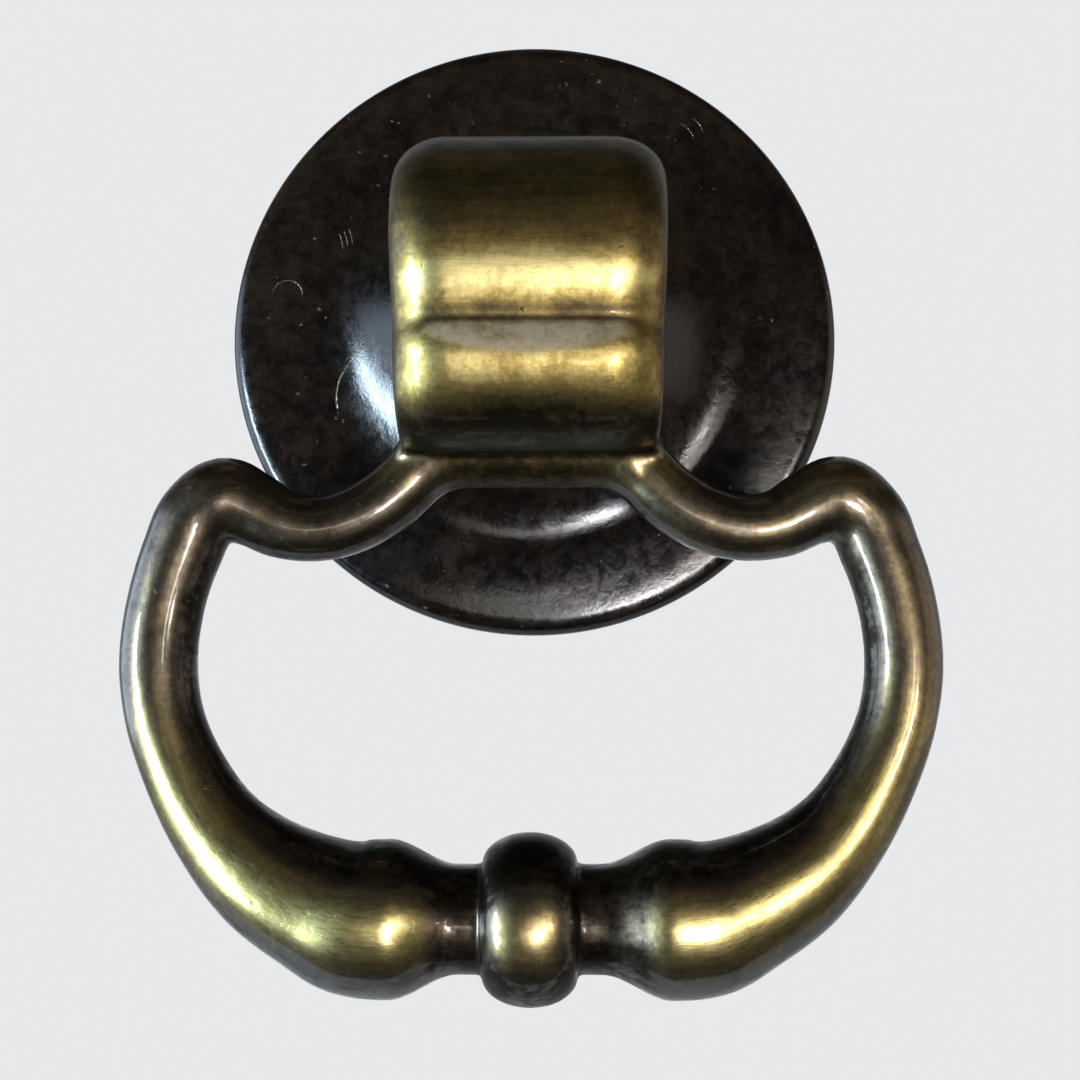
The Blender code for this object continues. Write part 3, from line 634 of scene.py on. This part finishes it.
def loftMesh(name, rings):  # rings of equal length, closed by a face at each end
    count = len(rings[0])
    points = [p for ring in rings for p in ring]
    faces = []
    for i in range(len(rings) - 1):
        for j in range(count):
            k = (j + 1) % count
            faces.append((i * count + j, i * count + k, (i + 1) * count + k, (i + 1) * count + j))
    faces.append(tuple(range(count)))
    faces.append(tuple(range((len(rings) - 1) * count, len(rings) * count)))
    return tidyMesh(meshFrom(name, points, faces), 1e-8)


def headShell(s):
    stations = []
    for step in range(s["edgeSteps"] + 1):
        angle = math.radians(90 * step / s["edgeSteps"])
        stations.append((s["edgeWidth"] * (1 - math.cos(angle)), s["edgeDepth"] * (1 - math.sin(angle))))
    rings = []
    for side in (-1, 1):
        for fromCheek, inset in stations[::-side]:
            bar = (-s["setBack"], -s["barDrop"])
            heel = (bar[0] - s["heelBehind"], bar[1] + s["heelAbove"])
            endInset = inset * s["footEdgeDepth"] / s["edgeDepth"]
            section = lobeFront(s, inset, endInset, s["hoodEnd"], s["footEnd"]) + [bar, heel]
            section += arcPoints((0, 0), s["cheekRear"], *s["cheekArc"], 6)
            rings.append([
                (side * (headHalf(s, up) - fromCheek), s["pivot"][1] - forward, up) for forward, up in section])
    return loftMesh("headShell", rings)


def headCavity(s):
    floor = s["barRadius"] - s["barDrop"]
    lower = (s["lowerForward"], -s["lowerDrop"])
    foot = pointAt(lower, s["lowerRadius"] - s["footRadius"], s["lowerTurn"])
    sine = (floor - foot[1]) / (s["footRadius"] - s["wall"])
    front = lobeFront(s, s["wall"], s["wall"], s["cavityTop"], math.degrees(math.asin(max(-1.0, sine))))
    behind = -(s["cheekRear"] + 0.004)
    section = front + [(behind, floor), (behind, front[0][1])]
    rings = [
        [(side * (headHalf(s, up) - s["wall"]), s["pivot"][1] - forward, up) for forward, up in section]
        for side in (-1, 1)]
    return loftMesh("headCavity", rings)


def rodAlongX(name, radius, start, end, centre, sides=64):
    rings = [
        [(x, centre[1] + radius * math.cos(tau * i / sides), centre[2] + radius * math.sin(tau * i / sides))
         for i in range(sides)] for x in (start, end)]
    return loftMesh(name, rings)


def bailLine(s):  # centre line of the bail's right half as (across, up, radius)
    points = [Vector(p) for p in s["stations"]]
    lengths = [(b.xy - a.xy).length for a, b in zip(points, points[1:])]
    tangents = [(points[1] - points[0]) / lengths[0]]
    for i in range(1, len(points) - 1):
        before, after = lengths[i - 1], lengths[i]
        slopeBefore = (points[i] - points[i - 1]) / before
        slopeAfter = (points[i + 1] - points[i]) / after
        tangents.append((slopeBefore * after + slopeAfter * before) / (before + after))
    tangents.append(Vector((-1, 0, 0)))
    line = [points[0]]
    for i, length in enumerate(lengths):
        count = max(2, math.ceil(length / s["ringSpacing"]))
        leave = points[i] + tangents[i] * length / 3
        arrive = points[i + 1] - tangents[i + 1] * length / 3
        line += interpolate_bezier(points[i], leave, arrive, points[i + 1], count + 1)[1:]
    low, high = s["shoulder"]
    rise = s["gripRadius"] - s["neckRadius"]
    for i in range(1, 17):
        t = 1 - i / 16
        line.append(Vector((low + (high - low) * t, -s["gripDrop"], s["neckRadius"] + rise * t * t * (3 - 2 * t))))
    for i in range(1, 5):
        line.append(Vector((low + (s["beadHalf"] + s["beadFoot"] - low) * i / 4, -s["gripDrop"], s["neckRadius"])))
    for i in range(25):
        angle = math.radians(90 * (1 - i / 24))
        radius = s["neckRadius"] + 0.0001 + (s["beadRadius"] - s["neckRadius"] - 0.0001) * math.cos(angle)
        line.append(Vector((s["beadHalf"] * math.sin(angle), -s["gripDrop"], radius)))
    return line


def rodTree(material):  # a round rod along a curve, as thick as the curve's own radius says
    tree, start, end = geometryTree("castRod", {"Sides": ("NodeSocketInt", 32)})
    circle = tree.nodes.new("GeometryNodeCurvePrimitiveCircle")
    circle.inputs["Radius"].default_value = 1.0
    sweep = tree.nodes.new("GeometryNodeCurveToMesh")
    sweep.inputs["Fill Caps"].default_value = True
    tree.links.new(start.outputs["Sides"], circle.inputs["Resolution"])
    tree.links.new(start.outputs["Geometry"], sweep.inputs["Curve"])
    tree.links.new(circle.outputs[0], sweep.inputs["Profile Curve"])
    if "Scale" in sweep.inputs:
        radius = tree.nodes.new("GeometryNodeInputRadius")
        tree.links.new(radius.outputs[0], sweep.inputs["Scale"])
    endTree(tree, sweep.outputs[0], end, material)
    return tree


def bailRod(s, h):
    half = bailLine(s)
    whole = half + [Vector((-p.x, p.y, p.z)) for p in reversed(half[:-1])]
    plane = h["pivot"][1] + h["setBack"]
    rod = curveObject("bailRod", [(p.x, plane, p.y) for p in whole], [p.z for p in whole])
    return tidyMesh(runTree(rod, rodTree(brass), {"Sides": s["sides"]}), 1e-7), whole


def distanceTo(tree, low, high, places, reach=0.0025):  # signed distance and direction, for points near a mesh
    distance = np.full(len(places), 0.02)
    direction = np.zeros_like(places)
    near = np.all((places > low - reach) & (places < high + reach), axis=1)
    for i in np.flatnonzero(near):
        found, normal, index, gap = tree.find_nearest(places[i])
        away = Vector(places[i]) - found
        side = -1.0 if away.dot(normal) < -0.25 * gap else 1.0
        distance[i] = side * gap
        direction[i] = away * (side / gap) if gap > 1e-7 else normal
    return distance, direction


def softUnion(first, second, width):
    (a, ga), (b, gb) = first, second
    overlap = np.clip(width - np.abs(a - b), 0, None) / width
    share = np.where(a < b, overlap / 2, 1 - overlap / 2)[:, None]
    return np.minimum(a, b) - overlap**2 * width / 4, ga * (1 - share) + gb * share


def softCut(first, second, width):
    distance, direction = softUnion((-first[0], -first[1]), (second[0], second[1]), width)
    return -distance, -direction


def makeHandle(h, b):
    rodMesh, centreLine = bailRod(b, h)
    pivot = Vector(h["pivot"])
    barCentre = pivot + Vector((0, h["setBack"], -h["barDrop"]))
    bossEnd = headHalf(h, 0.0) - h["wall"] / 2
    shapes = {
        "shell": headShell(h),
        "cavity": headCavity(h),
        "bossRight": rodAlongX("bossRight", h["bossRadius"], h["bossStart"], bossEnd, pivot),
        "bossLeft": rodAlongX("bossLeft", h["bossRadius"], -bossEnd, -h["bossStart"], pivot),
        "bar": rodAlongX("crossBar", h["barRadius"], -h["barHalf"], h["barHalf"], barCentre),
        "rod": rodMesh,
        "hole": rodAlongX("pinHole", h["pinHole"], -0.013, 0.013, pivot),
    }
    searchers = {}
    for name, mesh in shapes.items():
        bm = bmesh.new()
        bm.from_mesh(mesh)
        bmesh.ops.triangulate(bm, faces=bm.faces)
        places = np.array([v.co for v in bm.verts])
        searchers[name] = (BVHTree.FromBMesh(bm), places.min(0), places.max(0))
        bm.free()

    rough = linkObject("handleRough", tidyMesh(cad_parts["drop_handle"].data.copy()))
    remesh = rough.modifiers.new("skin", "REMESH")
    remesh.mode = "VOXEL"
    remesh.voxel_size = 0.000275
    even = rough.modifiers.new("even", "SMOOTH")
    even.factor, even.iterations = 0.5, 4
    mesh = bakedMesh(rough)
    places, normals = meshArrays(mesh)
    for turn in range(4):
        found = {name: distanceTo(*searchers[name], places) for name in searchers}
        body = softCut(found["shell"], found["cavity"], blendWidths["rim"])
        body = softUnion(body, found["bossRight"], blendWidths["boss"])
        body = softUnion(body, found["bossLeft"], blendWidths["boss"])
        body = softUnion(body, found["bar"], blendWidths["bar"])
        body = softUnion(body, found["rod"], blendWidths["arm"])
        distance, slope = softCut(body, found["hole"], blendWidths["hole"])
        size = np.maximum((slope**2).sum(1), 0.25)
        step = np.clip(distance, -0.0003, 0.0003) / size
        places = places - slope * step[:, None]
        print("handle skin pass", turn + 1, "mean gap", float(np.abs(distance).mean() * 1000), "mm")
    mesh.vertices.foreach_set("co", places.ravel())
    mesh.update()
    places, normals = meshArrays(mesh)
    broad = np.array([noise.noise(Vector(p) * 330) for p in places])
    small = np.array([noise.noise(Vector(p) * 1100) for p in places])
    fine = np.clip((np.hypot(places[:, 1] - h["pivot"][1], places[:, 2]) - 0.003) / 0.002, 0, 1)
    places += normals * ((broad * 0.000020 + small * 0.000005) * fine)[:, None]
    mesh.vertices.foreach_set("co", places.ravel())
    for name, values in zip(("wearAndPaintedLight", "paintedGrooveReflection", "dull", "brush"), handleWearAndPaintedLight(places, normals, centreLine, h, b)):
        storeValues(mesh, name, values)
    smoothShade(mesh)
    handle = linkObject("castHandle", mesh)
    handle.data.materials.clear()
    handle.data.materials.append(brass)
    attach(handle, "handle")
    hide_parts("drop_handle")
    print("handle has", len(mesh.polygons), "faces")
    return handle


def handleWearAndPaintedLight(places, normals, centreLine, h, b):  # where hands have worn the patina off, with painted highlight and painted shade on the head and grips, and how the brush ran
    plane = h["pivot"][1] + h["setBack"]
    line = np.array([(p.x, plane, p.y) for p in centreLine])
    radii = np.array([p.z for p in centreLine])
    runs = np.concatenate(([0.0], np.cumsum(np.linalg.norm(np.diff(line, axis=0), axis=1))))
    nearest = np.empty(len(places), int)
    for start in range(0, len(places), 4000):
        part = places[start:start + 4000]
        nearest[start:start + 4000] = ((part[:, None, :] - line[None]) ** 2).sum(2).argmin(1)
    away = places - line[nearest]
    gap = np.linalg.norm(away, axis=1)
    tangent = np.gradient(line, axis=0)
    tangent /= np.linalg.norm(tangent, axis=1)[:, None]
    sideways = np.cross(tangent[nearest], (0, 1, 0))
    onHead = smoothStep(0.0, 0.0006, gap - radii[nearest]) * (places[:, 2] > -0.0165)

    forward = h["pivot"][1] - places[:, 1]
    up = places[:, 2]
    across = np.abs(places[:, 0])
    upperAngle = np.degrees(np.arctan2(up + h["upperDrop"], forward))
    lowerAngle = np.degrees(np.arctan2(up + h["lowerDrop"], forward - h["lowerForward"]))
    onUpper = smoothStep(-0.0068, -0.0054, up)
    sag = 0.22 * (across / 0.0075) ** 2
    # painted highlight: the upper lobe is lightest in a band where the lamps' highlight falls, bent at the sides by sag
    # and darker above and below it; the worn front is real, the band's place and shape are painted
    upperWearAndHighlight = 0.33 + 0.11 * smoothStep(20, 6, upperAngle) + 0.53 * smoothStep(4, -9, upperAngle + 30 * sag)
    upperWearAndHighlight -= 0.40 * smoothStep(-13, -23, upperAngle)
    # lower lobe: a light front with painted highlight, and painted shade darkening its underside
    lowerWearHighlightAndShade = 0.67 - 0.67 * smoothStep(-24 - 70 * sag, -64 - 70 * sag, lowerAngle)
    headWearAndPaintedLight = lowerWearHighlightAndShade * (1 - onUpper) + upperWearAndHighlight * onUpper
    wander = 0.00010 * np.sin(places[:, 0] * 1100 + 1.3) + 0.00006 * np.sin(places[:, 0] * 2900)
    groove = smoothStep(0.00095, 0.00015, np.abs(up + 0.0053 + wander)) * smoothStep(0.0084, 0.0066, across)
    headWearAndPaintedLight -= 0.27 * groove  # patina stays in the groove between the lobes, deepened with painted shade
    inside = (forward < 0.0005) & (across < 0.0086)
    headWearAndPaintedLight = np.where(inside, 0.03, headWearAndPaintedLight)
    onBar = np.hypot(forward + h["setBack"], up + h["barDrop"]) < h["barRadius"] + 0.0003
    headWearAndPaintedLight = np.where(onBar, 0.08, headWearAndPaintedLight)
    cheek = smoothStep(0.62, 0.92, np.abs(normals[:, 0])) * (forward > -0.006)
    headWearAndPaintedLight += (0.34 - headWearAndPaintedLight) * cheek
    # painted reflection: a pale lens-shaped band in the groove under the upper lobe, where the concave surface mirrors
    # its surroundings
    lensLow = -0.0079 + 0.0011 * (across / 0.0068) ** 2
    paintedGrooveReflection = smoothStep(lensLow - 0.00035, lensLow + 0.00035, up) * smoothStep(-0.0056, -0.0061, up)
    paintedGrooveReflection *= smoothStep(0.0075, 0.0058, across) * onHead * (forward > 0.006)

    drop = -up
    legShare = smoothStep(0.026, 0.040, drop)
    upward = (away[:, 2] * 0.85 - np.sign(places[:, 0]) * away[:, 0] * 0.35 * smoothStep(0.044, 0.030, drop))
    upward = upward / np.maximum(gap, 1e-6)
    frontness = -away[:, 1] / np.maximum(gap, 1e-6)
    inward = -np.sign(places[:, 0]) * away[:, 0] / np.maximum(gap, 1e-6)
    armPolish = 0.12 + 0.22 * smoothStep(0.1, 0.9, frontness)
    armPolish -= 0.16 * smoothStep(0.2, 0.9, inward) * smoothStep(0.018, 0.024, drop)
    armPolish -= 0.08 * smoothStep(0.0, 0.014, -places[:, 0])  # the left arm is the darker one
    armPolish += 0.24 * smoothStep(0.3, 0.9, frontness) * smoothStep(0.0168, 0.0130, drop)  # rubbed beside the head
    # legs and grips: worn on the front, with patina on tops and backs
    legWearAndPaintedShade = 0.89 - 0.85 * smoothStep(0.02, 0.62, upward) - 0.25 * smoothStep(-0.1, -0.8, frontness)
    # painted shade: the undersides of the legs and grips are darkened
    legWearAndPaintedShade -= 0.66 * smoothStep(-0.22, -0.62, upward)
    bailWearAndPaintedShade = armPolish * (1 - legShare) + legWearAndPaintedShade * legShare
    grip = drop > 0.038
    shoulder = np.where(places[:, 0] > 0, 0.0094, 0.0080)
    neck = smoothStep(shoulder, shoulder - 0.0020, across) * smoothStep(0.0031, 0.0038, across) * grip
    bailWearAndPaintedShade = bailWearAndPaintedShade * (1 - neck) + 0.08 * neck
    bead = smoothStep(0.0038, 0.0032, across) * grip
    flank = smoothStep(0.0013, 0.0028, across)
    bailWearAndPaintedShade -= bead * (0.16 + 0.44 * flank)

    wearAndPaintedLight = bailWearAndPaintedShade * (1 - onHead) + headWearAndPaintedLight * onHead
    brushBail = np.column_stack(((away * sideways).sum(1), runs[nearest], away[:, 1]))
    brushHead = np.column_stack((places[:, 1] + 0.5, places[:, 0], places[:, 2]))
    headOnly = (onHead > 0.5)[:, None]
    return np.clip(wearAndPaintedLight, 0, 1), np.clip(paintedGrooveReflection, 0, 1), onHead, np.where(headOnly, brushHead, brushBail)


makeHandle(headSizes, bailSizes)
print("handle made")


# steel pieces that the CAD already has right

for node in ("pivot_post", "lock_washer", "retaining_nut", "hinge_pin"):
    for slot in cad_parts[node].material_slots:
        slot.material = steel
print("steel pieces dressed")


# stage, light and camera

stageSizes = {
    "floorLevel": -0.32, "frontEdge": -0.03, "floorHalf": 1.2, "sweepStart": 0.45, "sweepRadius": 0.45, "wallTop": 1.3,
    "paleColour": (0.80, 0.81, 0.83, 1), "paleShare": 1.0,
}


def makeFloor(s):  # a floor that turns up into a wall far behind
    profile = [(s["frontEdge"], s["floorLevel"]), (s["sweepStart"], s["floorLevel"])]
    centre = (s["sweepStart"], s["floorLevel"] + s["sweepRadius"])
    profile += arcPoints(centre, s["sweepRadius"], -90, 0, 6)[1:]
    profile.append((profile[-1][0], s["wallTop"]))
    points = [(x, y, z) for y, z in profile for x in (-s["floorHalf"], s["floorHalf"])]
    faces = [(2 * i, 2 * i + 1, 2 * i + 3, 2 * i + 2) for i in range(len(profile) - 1)]
    mesh = meshFrom("studioFloor", points, faces)
    smoothShade(mesh)
    material, tree, shader = newMaterial("paleFloor")
    shader.inputs["Base Color"].default_value = (0.80, 0.80, 0.79, 1)
    shader.inputs["Roughness"].default_value = 0.8
    shader.inputs["Specular IOR Level"].default_value = 0.2
    path = addNode(tree, "ShaderNodeLightPath")
    pale = addNode(tree, "ShaderNodeEmission")
    pale.inputs["Color"].default_value = s["paleColour"]
    shown = addNode(tree, "ShaderNodeMixShader")
    seen = mathNode(tree, "MAXIMUM", path.outputs["Is Camera Ray"], path.outputs["Is Transmission Ray"])
    tree.links.new(mathNode(tree, "MULTIPLY", seen, s["paleShare"]), shown.inputs[0])
    tree.links.new(shader.outputs[0], shown.inputs[1])
    tree.links.new(pale.outputs[0], shown.inputs[2])
    tree.links.new(shown.outputs[0], tree.nodes["Material Output"].inputs["Surface"])
    mesh.materials.append(material)
    floor = linkObject("studioFloor", mesh)
    return floor


def aimFrom(azimuth, elevation, distance, target=(0, -0.018, -0.02)):  # 0 is in front, positive to the right
    a, e = math.radians(azimuth), math.radians(elevation)
    away = Vector((math.sin(a) * math.cos(e), -math.cos(a) * math.cos(e), math.sin(e)))
    return Vector(target) + away * distance, away.to_track_quat("Z", "Y").to_euler()


lampSizes = {  # azimuth, elevation, distance, width, height, radiance, colour
    "keyLamp": (20, -13.5, 0.55, 0.075, 0.070, 29.0, (1.0, 0.95, 0.88)),
    "keyTall": (22, -4.5, 0.60, 0.03, 0.15, 20.0, (1.0, 0.95, 0.90)),
    "arcLamp": (12, -17, 0.60, 0.060, 0.065, 120.0, (0.92, 0.92, 1.0)),
    "secondLamp": (34, -5, 0.60, 0.04, 0.045, 85.0, (1.0, 0.96, 0.90)),
    "windowLamp": (-60, -10, 0.60, 0.078, 0.38, 66.0, (0.62, 0.83, 1.0)),
    "frontStrip": (7, -13, 0.60, 0.34, 0.06, 3.8, (1.0, 0.97, 0.86)),
}


backdropLamp = {"place": (0, 0.20, 0.42), "aim": (0, 0.90, -0.06), "power": 9.0}


def makeLamps():
    for name, (azimuth, elevation, distance, width, height, radiance, colour) in lampSizes.items():
        lamp = bpy.data.lights.new(name, "AREA")
        lamp.shape = "RECTANGLE"
        lamp.size, lamp.size_y = width, height
        lamp.energy = radiance * math.pi * width * height
        lamp.color = colour
        made = linkObject(name, lamp)
        made.location, made.rotation_euler = aimFrom(azimuth, elevation, distance)
        made.visible_camera = False
    pool = bpy.data.lights.new("backdropLamp", "SPOT")  # lights the backdrop alone, from behind the object
    pool.spot_size, pool.spot_blend, pool.shadow_soft_size = math.radians(100), 1.0, 0.1
    pool.energy = backdropLamp["power"]
    made = linkObject("backdropLamp", pool)
    made.location = backdropLamp["place"]
    made.rotation_euler = (Vector(made.location) - Vector(backdropLamp["aim"])).to_track_quat("Z", "Y").to_euler()


worldLight = {
    "background": (0.80, 0.81, 0.83, 1), "room": (0.016, 0.014, 0.012, 1), "fill": (0.22, 0.22, 0.23, 1),
    "behind": (0.17, 0.21, 0.27, 1), "ceiling": (0.17, 0.135, 0.075, 1),
    "left": (1.9, 2.4, 3.0, 1), "right": (0.65, 0.60, 0.53, 1),
}


def makeWorld():  # pale for the camera and behind the object, a dim room in front of it
    world = bpy.data.worlds.new("studio")
    world.use_nodes = True
    scene.world = world
    tree = world.node_tree
    background = tree.nodes["Background"]
    path = addNode(tree, "ShaderNodeLightPath")
    direction = addNode(tree, "ShaderNodeTexCoord").outputs["Generated"]
    parts = addNode(tree, "ShaderNodeSeparateXYZ")
    tree.links.new(direction, parts.inputs[0])
    high = mathNode(tree, "ABSOLUTE", mathNode(tree, "SUBTRACT", parts.outputs[2], 0.67))
    above = mathNode(tree, "MAXIMUM", stepNode(tree, high, 0.09, 0.02), stepNode(tree, parts.outputs[2], 0.975, 0.995))
    front = mixColours(tree, above, worldLight["room"], worldLight["ceiling"])
    seenInGloss = mixColours(tree, stepNode(tree, parts.outputs[1], 0.28, 0.52), front, worldLight["behind"])
    level = stepNode(tree, mathNode(tree, "ABSOLUTE", parts.outputs[2]), 0.50, 0.30)
    toLeft = mathNode(tree, "MULTIPLY", level, stepNode(tree, parts.outputs[0], -0.80, -0.92))
    toRight = mathNode(tree, "MULTIPLY", level, stepNode(tree, parts.outputs[0], 0.80, 0.95))
    seenInGloss = mixColours(tree, toLeft, seenInGloss, worldLight["left"])
    seenInGloss = mixColours(tree, toRight, seenInGloss, worldLight["right"])
    colour = mixColours(tree, path.outputs["Is Glossy Ray"], worldLight["fill"], seenInGloss)
    toCamera = mathNode(tree, "MAXIMUM", path.outputs["Is Camera Ray"], path.outputs["Is Transmission Ray"])
    tree.links.new(mixColours(tree, toCamera, colour, worldLight["background"]), background.inputs["Color"])
    background.inputs["Strength"].default_value = 1.0


cameraSizes = {"place": (0.0020, -0.12367, -0.03206), "pitch": 6.96, "yaw": 0.70, "lens": 50.0, "sensor": 36.0}


def makeCamera(s):
    camera = bpy.data.cameras.new("photoCamera")
    camera.lens, camera.sensor_width = s["lens"], s["sensor"]
    camera.clip_start, camera.clip_end = 0.01, 10.0
    made = linkObject("photoCamera", camera)
    made.location = s["place"]
    made.rotation_euler = (math.radians(90 + s["pitch"]), 0, math.radians(s["yaw"]))
    scene.camera = made


makeFloor(stageSizes)
makeLamps()
makeWorld()
makeCamera(cameraSizes)
scene.view_settings.view_transform = "Standard"
print("stage, lamps and camera made")
